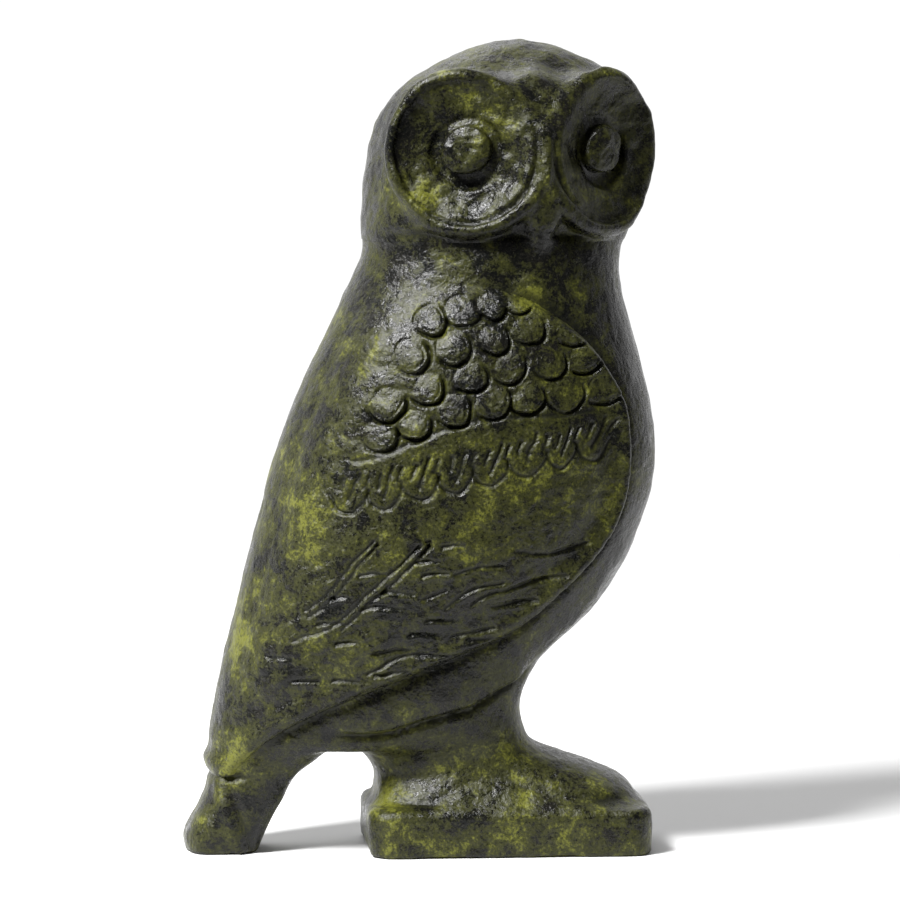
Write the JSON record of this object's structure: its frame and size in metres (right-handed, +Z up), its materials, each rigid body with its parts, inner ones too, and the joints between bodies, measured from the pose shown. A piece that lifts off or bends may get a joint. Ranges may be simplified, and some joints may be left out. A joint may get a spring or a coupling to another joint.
{
  "type": "owl figurine",
  "caption": "Hollow bronze owl statuette with its head turned to one side, standing on a low plinth with its tail resting on the ground.",
  "frame": {"origin": "centre of the plinth's underside, on the surface that the owl stands on", "axes": "+X where the breast and toes point, +Y the bird's left, +Z up"},
  "size_m": [0.0648, 0.0388, 0.1101],
  "materials": {
    "patina": "dark green-black patina under wax",
    "bare_bronze": "satin",
    "screw_steel": "satin"
  },
  "bodies": {
    "root": {"plinth": "patina", "legs": "patina", "body": "patina", "tail": "patina", "head": "patina", "right_wing": "patina", "left_wing": "patina", "right_eye": "patina", "left_eye": "patina", "neck_pins": "bare_bronze", "wing_rivets": "bare_bronze", "tail_pin": "bare_bronze", "core_plugs": "bare_bronze", "plinth_screws": "screw_steel", "screw_washers": "screw_steel"}
  },
  "joints": []
}
